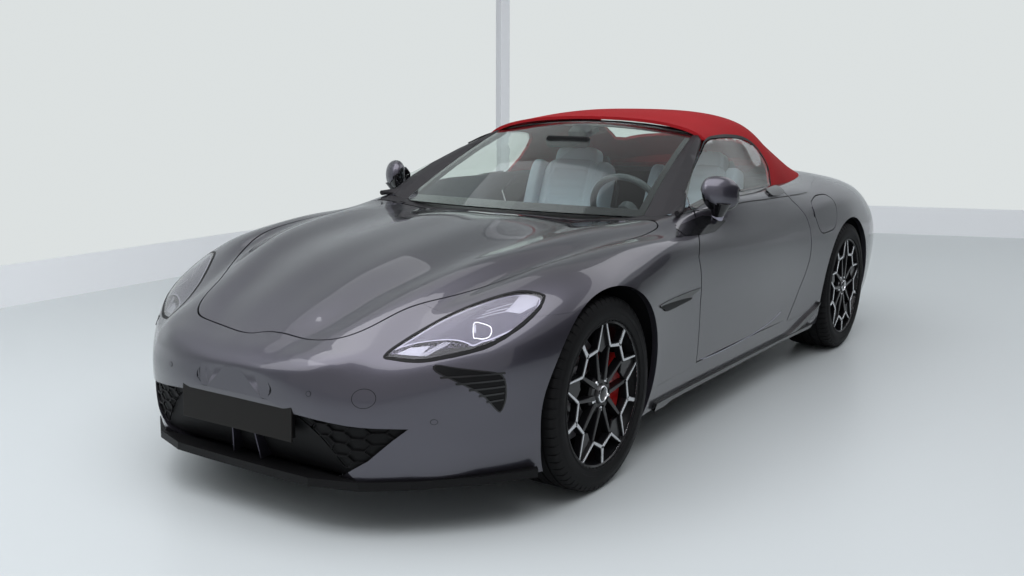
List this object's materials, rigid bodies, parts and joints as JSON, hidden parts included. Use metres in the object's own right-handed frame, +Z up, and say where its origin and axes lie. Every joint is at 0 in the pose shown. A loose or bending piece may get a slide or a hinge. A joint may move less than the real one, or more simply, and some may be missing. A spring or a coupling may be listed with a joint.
{
  "type": "roadster convertible",
  "caption": "Open road car with a closed fabric roof, tilting doors, opening bonnet, boot lid and charge flap, and steered front wheels.",
  "frame": {"origin": "on the ground, under the middle of the car's box", "axes": "+X to the car's left, +Y to the tail, +Z up"},
  "size_m": [1.906, 4.5352, 1.3227],
  "materials": {
    "underbody": "black sealed steel",
    "cast_metal": "cast aluminium",
    "body_paint": "dark grey metallic paint under clear coat",
    "black_gloss": "gloss black",
    "black_trim": "fine grained black",
    "lamp_glass": "clear lamp lens",
    "window_glass": "grey green tinted glass",
    "roof_fabric": "deep red woven roof cloth",
    "cabin_plastic": "soft black",
    "cabin_leather": "light grey leather",
    "tyre": "black rubber",
    "wheel_metal": "black paint with machined faces"
  },
  "bodies": {
    "root": {"chassis_tub": "underbody", "axles": "cast_metal", "rear_hubs": "cast_metal", "front_bumper": "body_paint", "tonneau": "body_paint", "rear_bumper": "body_paint", "fender_left": "body_paint", "fender_right": "body_paint", "quarter_left": "body_paint", "quarter_right": "body_paint", "skirt_left": "body_paint", "skirt_right": "body_paint", "windscreen_frame": "black_gloss", "rear_diffuser": "black_trim", "front_grille": "black_trim", "front_splitter": "black_trim", "tail_lamps": "lamp_glass", "headlamp_left": "lamp_glass", "headlamp_right": "lamp_glass", "windscreen": "window_glass", "rear_window": "window_glass", "soft_top": "roof_fabric", "dashboard": "cabin_plastic", "seat_left": "cabin_leather", "seat_right": "cabin_leather"},
    "bonnet": {"bonnet": "body_paint"},
    "boot_lid": {"boot_lid": "body_paint"},
    "charge_flap": {"charge_flap": "body_paint"},
    "door_left": {"door_left": "body_paint", "door_glass_left": "window_glass", "mirror_left": "black_gloss"},
    "door_right": {"door_right": "body_paint", "door_glass_right": "window_glass", "mirror_right": "black_gloss"},
    "steering_wheel": {"steering_wheel": "cabin_leather"},
    "knuckle_left": {"knuckle_left": "cast_metal"},
    "knuckle_right": {"knuckle_right": "cast_metal"},
    "wheel_front_left": {"wheel_front_left": "wheel_metal", "tyre_front_left": "tyre"},
    "wheel_front_right": {"wheel_front_right": "wheel_metal", "tyre_front_right": "tyre"},
    "wheel_rear_left": {"wheel_rear_left": "wheel_metal", "tyre_rear_left": "tyre"},
    "wheel_rear_right": {"wheel_rear_right": "wheel_metal", "tyre_rear_right": "tyre"}
  },
  "joints": [
    {"name": "steer_left", "type": "hinge", "parent": "root", "child": "knuckle_left", "pos_m": [0.727, -1.3675, 0.352], "axis": [0, 0, 1], "range_deg": [-33, 33]},
    {"name": "steer_right", "type": "hinge", "parent": "root", "child": "knuckle_right", "pos_m": [-0.727, -1.3675, 0.352], "axis": [0, 0, 1], "range_deg": [-33, 33]},
    {"name": "roll_front_left", "type": "hinge", "parent": "knuckle_left", "child": "wheel_front_left", "pos_m": [0.787, -1.3675, 0.352], "axis": [1, 0, 0], "continuous": true},
    {"name": "roll_front_right", "type": "hinge", "parent": "knuckle_right", "child": "wheel_front_right", "pos_m": [-0.787, -1.3675, 0.352], "axis": [1, 0, 0], "continuous": true},
    {"name": "roll_rear_left", "type": "hinge", "parent": "root", "child": "wheel_rear_left", "pos_m": [0.806, 1.3225, 0.35], "axis": [1, 0, 0], "continuous": true},
    {"name": "roll_rear_right", "type": "hinge", "parent": "root", "child": "wheel_rear_right", "pos_m": [-0.806, 1.3225, 0.35], "axis": [1, 0, 0], "continuous": true},
    {"name": "steering_column", "type": "hinge", "parent": "root", "child": "steering_wheel", "pos_m": [0.37, -0.215, 0.865], "axis": [0, 0.9136, 0.4067], "range_deg": [-429, 429]},
    {"name": "door_left_hinge", "type": "hinge", "parent": "root", "child": "door_left", "pos_m": [0.85, -0.65, 0.89], "axis": [0.866, 0, -0.5], "range_deg": [0, 65]},
    {"name": "door_right_hinge", "type": "hinge", "parent": "root", "child": "door_right", "pos_m": [-0.85, -0.65, 0.89], "axis": [0.866, 0, 0.5], "range_deg": [0, 65]},
    {"name": "bonnet_hinge", "type": "hinge", "parent": "root", "child": "bonnet", "pos_m": [0.61, -0.655, 0.88], "axis": [-1, 0, 0], "range_deg": [0, 50]},
    {"name": "boot_hinge", "type": "hinge", "parent": "root", "child": "boot_lid", "pos_m": [0.3, 1.40431, 0.98195], "axis": [1, 0, 0], "range_deg": [0, 45]},
    {"name": "flap_hinge", "type": "hinge", "parent": "root", "child": "charge_flap", "pos_m": [0.908, 0.777, 0.816], "axis": [0.2756, 0, -0.9613], "range_deg": [0, 80]}
  ],
  "couplings": [
    {"joint": "steer_right", "follows": "steer_left", "ratio": 1},
    {"joint": "steering_column", "follows": "steer_left", "ratio": 13}
  ]
}
